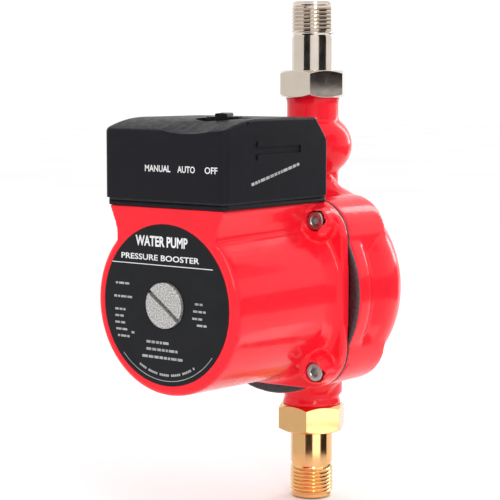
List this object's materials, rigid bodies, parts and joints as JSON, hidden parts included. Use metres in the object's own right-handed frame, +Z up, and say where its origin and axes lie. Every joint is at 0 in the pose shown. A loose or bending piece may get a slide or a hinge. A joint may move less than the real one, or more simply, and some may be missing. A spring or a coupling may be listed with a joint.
{
  "type": "centrifugal water pump",
  "caption": "Inline wet-rotor booster pump: canned motor with terminal box, round volute casing, threaded unions above and below.",
  "frame": {"origin": "centre of the inlet tailpiece's open end, on the pipe axis", "axes": "+Z up along the pipe from inlet to outlet, -Y along the motor axis towards the nameplate, +X to the right seen from the nameplate"},
  "size_m": [0.1018, 0.1311, 0.242],
  "materials": {
    "red_casting": "glossy enamel over cast iron",
    "red_housing": "glossy enamel over cast aluminium",
    "stainless": "satin",
    "rubber": "matt",
    "carbon": "fine ground carbon graphite",
    "lamination": "stacked electrical steel",
    "copper": "lacquered",
    "label": "satin black print",
    "screw_steel": "zinc plated",
    "shaft_steel": "ground",
    "aluminium": "as cast",
    "impeller_plastic": "glass-filled",
    "plug_steel": "sintered nickel plate",
    "flap_plastic": "acetal",
    "magnet": "plated",
    "brass": "machined",
    "fibre_seal": "matt",
    "nickel": "nickel-plated brass",
    "box_plastic": "fine moulded texture",
    "knob_plastic": "satin",
    "switch_plastic": "satin",
    "white_plastic": "moulded",
    "board": "glass epoxy"
  },
  "bodies": {
    "pump": {"pump_casing": "red_casting", "motor_housing": "red_housing", "wear_ring": "stainless", "casing_gasket": "rubber", "bearing_plate": "stainless", "front_bearing": "carbon", "rotor_can": "stainless", "rear_bearing": "carbon", "can_o_ring": "rubber", "stator_core": "lamination", "stator_windings": "copper", "front_label": "label", "flange_screws": "screw_steel", "flap_carrier": "flap_plastic", "flap_pin": "stainless", "reed_sensor": "box_plastic", "inlet_tailpiece": "brass", "inlet_nut": "brass", "inlet_seal": "fibre_seal", "outlet_tailpiece": "nickel", "outlet_nut": "nickel", "outlet_seal": "fibre_seal", "terminal_box_base": "box_plastic", "terminal_box_lid": "box_plastic", "box_gasket": "rubber", "base_screws": "screw_steel", "lid_screws": "screw_steel", "selector_switch": "switch_plastic", "capacitor": "white_plastic", "capacitor_clip": "screw_steel", "terminal_block": "white_plastic", "terminal_screws": "screw_steel", "control_board": "board", "earth_screw": "brass", "winding_leads": "copper", "cable_gland_body": "box_plastic", "cable_gland_nut": "box_plastic", "cable_grommet": "rubber", "gland_locknut": "box_plastic"},
    "rotor": {"shaft": "shaft_steel", "rotor_core": "lamination", "rotor_end_rings": "aluminium", "thrust_ring": "carbon", "impeller": "impeller_plastic", "impeller_shroud": "impeller_plastic"},
    "selector": {"selector_knob": "knob_plastic", "selector_spindle": "flap_plastic"},
    "flap": {"flow_flap": "flap_plastic", "flap_magnet": "magnet"},
    "vent_ring": {"vent_plug_seal": "rubber"},
    "vent_plug": {"vent_plug": "plug_steel"}
  },
  "joints": [
    {"name": "rotor_spin", "type": "hinge", "parent": "pump", "child": "rotor", "pos_m": [0, -0.06, 0.106], "axis": [0, -1, 0], "continuous": true},
    {"name": "selector_turn", "type": "hinge", "parent": "pump", "child": "selector", "pos_m": [0.013, -0.085, 0.184], "axis": [0, 0, -1], "range_deg": [0, 60]},
    {"name": "flap_swing", "type": "hinge", "parent": "pump", "child": "flap", "pos_m": [0, 0.007, 0.1676], "axis": [-1, 0, 0], "range_deg": [0, 60]},
    {"name": "vent_lift", "type": "slide", "parent": "pump", "child": "vent_ring", "axis": [0, -1, 0], "range_m": [0, 0.0036]},
    {"name": "vent_turn", "type": "hinge", "parent": "vent_ring", "child": "vent_plug", "pos_m": [0, -0.11, 0.106], "axis": [0, -1, 0], "range_deg": [0, 720]}
  ],
  "couplings": [
    {"joint": "vent_lift", "follows": "vent_turn", "m_per_rad": 0.00023873}
  ]
}
